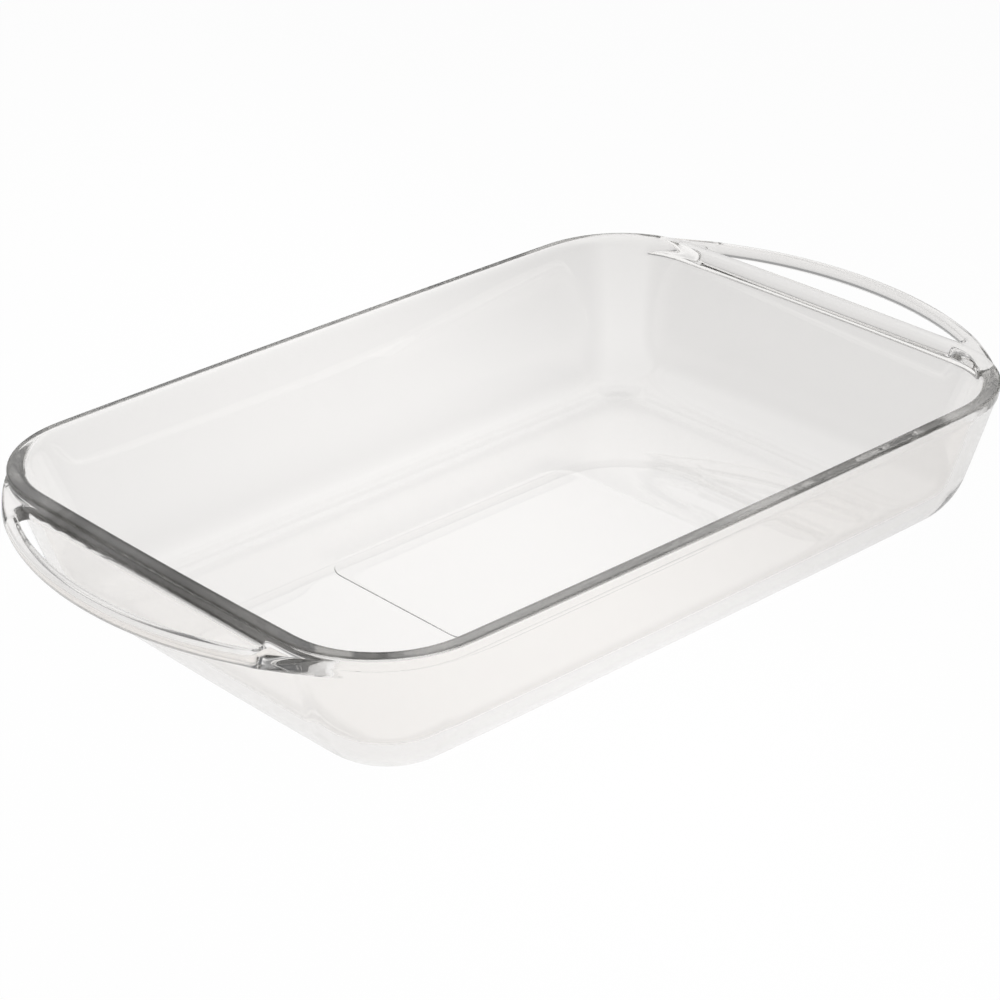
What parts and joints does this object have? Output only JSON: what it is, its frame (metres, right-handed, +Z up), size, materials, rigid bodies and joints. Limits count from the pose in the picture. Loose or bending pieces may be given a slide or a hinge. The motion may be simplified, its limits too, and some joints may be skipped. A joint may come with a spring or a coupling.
{
  "type": "glass baking dish",
  "caption": "Clear pressed-glass oven dish: rectangular with rounded corners, sloped walls, a rolled rim and a loop handle at each end.",
  "frame": {"origin": "middle of the underside of the floor", "axes": "+X along the length to the right handle, +Y to the back long wall, +Z up"},
  "size_m": [0.3396, 0.204, 0.0523],
  "materials": {
    "clear_glass": "clear colourless pressed glass, glossy, faint waviness"
  },
  "bodies": {
    "root": {"floor": "clear_glass", "marking_panel": "clear_glass", "wall_right": "clear_glass", "wall_back": "clear_glass", "wall_left": "clear_glass", "wall_front": "clear_glass", "corner_back_right": "clear_glass", "corner_back_left": "clear_glass", "corner_front_left": "clear_glass", "corner_front_right": "clear_glass", "rim_bead": "clear_glass", "handle_right": "clear_glass", "handle_left": "clear_glass"}
  },
  "joints": []
}
